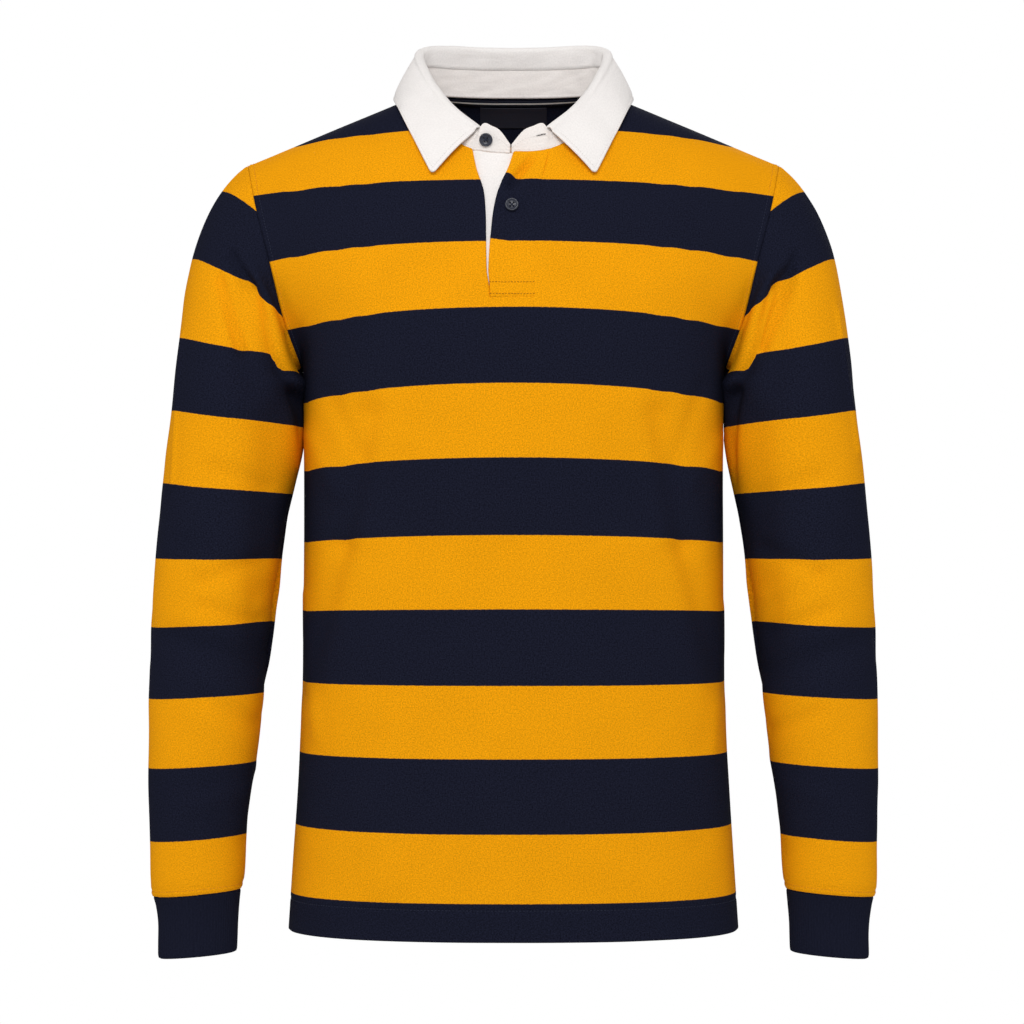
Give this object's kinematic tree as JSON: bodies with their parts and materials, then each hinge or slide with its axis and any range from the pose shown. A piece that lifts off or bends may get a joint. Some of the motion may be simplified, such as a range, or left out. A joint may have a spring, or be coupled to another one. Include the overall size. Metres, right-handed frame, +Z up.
{
  "type": "long-sleeved rugby shirt",
  "caption": "Long-sleeved rugby shirt in broad hoops, with a folded collar, short buttoned placket and rib cuffs, filled out as if worn.",
  "frame": {"origin": "midway between the neck points of the two shoulder seams, where the wearer's shoulders carry the shirt", "axes": "+Z up; the front faces -Y; +X to the wearer's left"},
  "size_m": [0.6362, 0.24, 0.804],
  "materials": {
    "front": "matt cotton jersey in broad gold and navy hoops",
    "back": "matt cotton jersey in broad gold and navy hoops",
    "sleeve_left": "matt cotton jersey in broad gold and navy hoops",
    "sleeve_right": "matt cotton jersey in broad gold and navy hoops",
    "cuff_left": "matt navy rib knit",
    "cuff_right": "matt navy rib knit",
    "collar_stand": "off-white cotton twill",
    "collar_leaf": "off-white cotton twill",
    "placket_top": "matt cotton jersey in broad gold and navy hoops",
    "placket_under": "off-white cotton twill",
    "neck_tape": "navy woven tape with a white line",
    "neck_label": "plain dark woven patch",
    "button_collar": "dark satin",
    "button_placket": "dark satin"
  },
  "bodies": {
    "root": {"front": "front", "back": "back", "sleeve_left": "sleeve_left", "sleeve_right": "sleeve_right", "cuff_left": "cuff_left", "cuff_right": "cuff_right", "collar_stand": "collar_stand", "collar_leaf": "collar_leaf", "placket_top": "placket_top", "placket_under": "placket_under", "neck_tape": "neck_tape", "neck_label": "neck_label", "button_collar": "button_collar", "button_placket": "button_placket"}
  },
  "joints": []
}
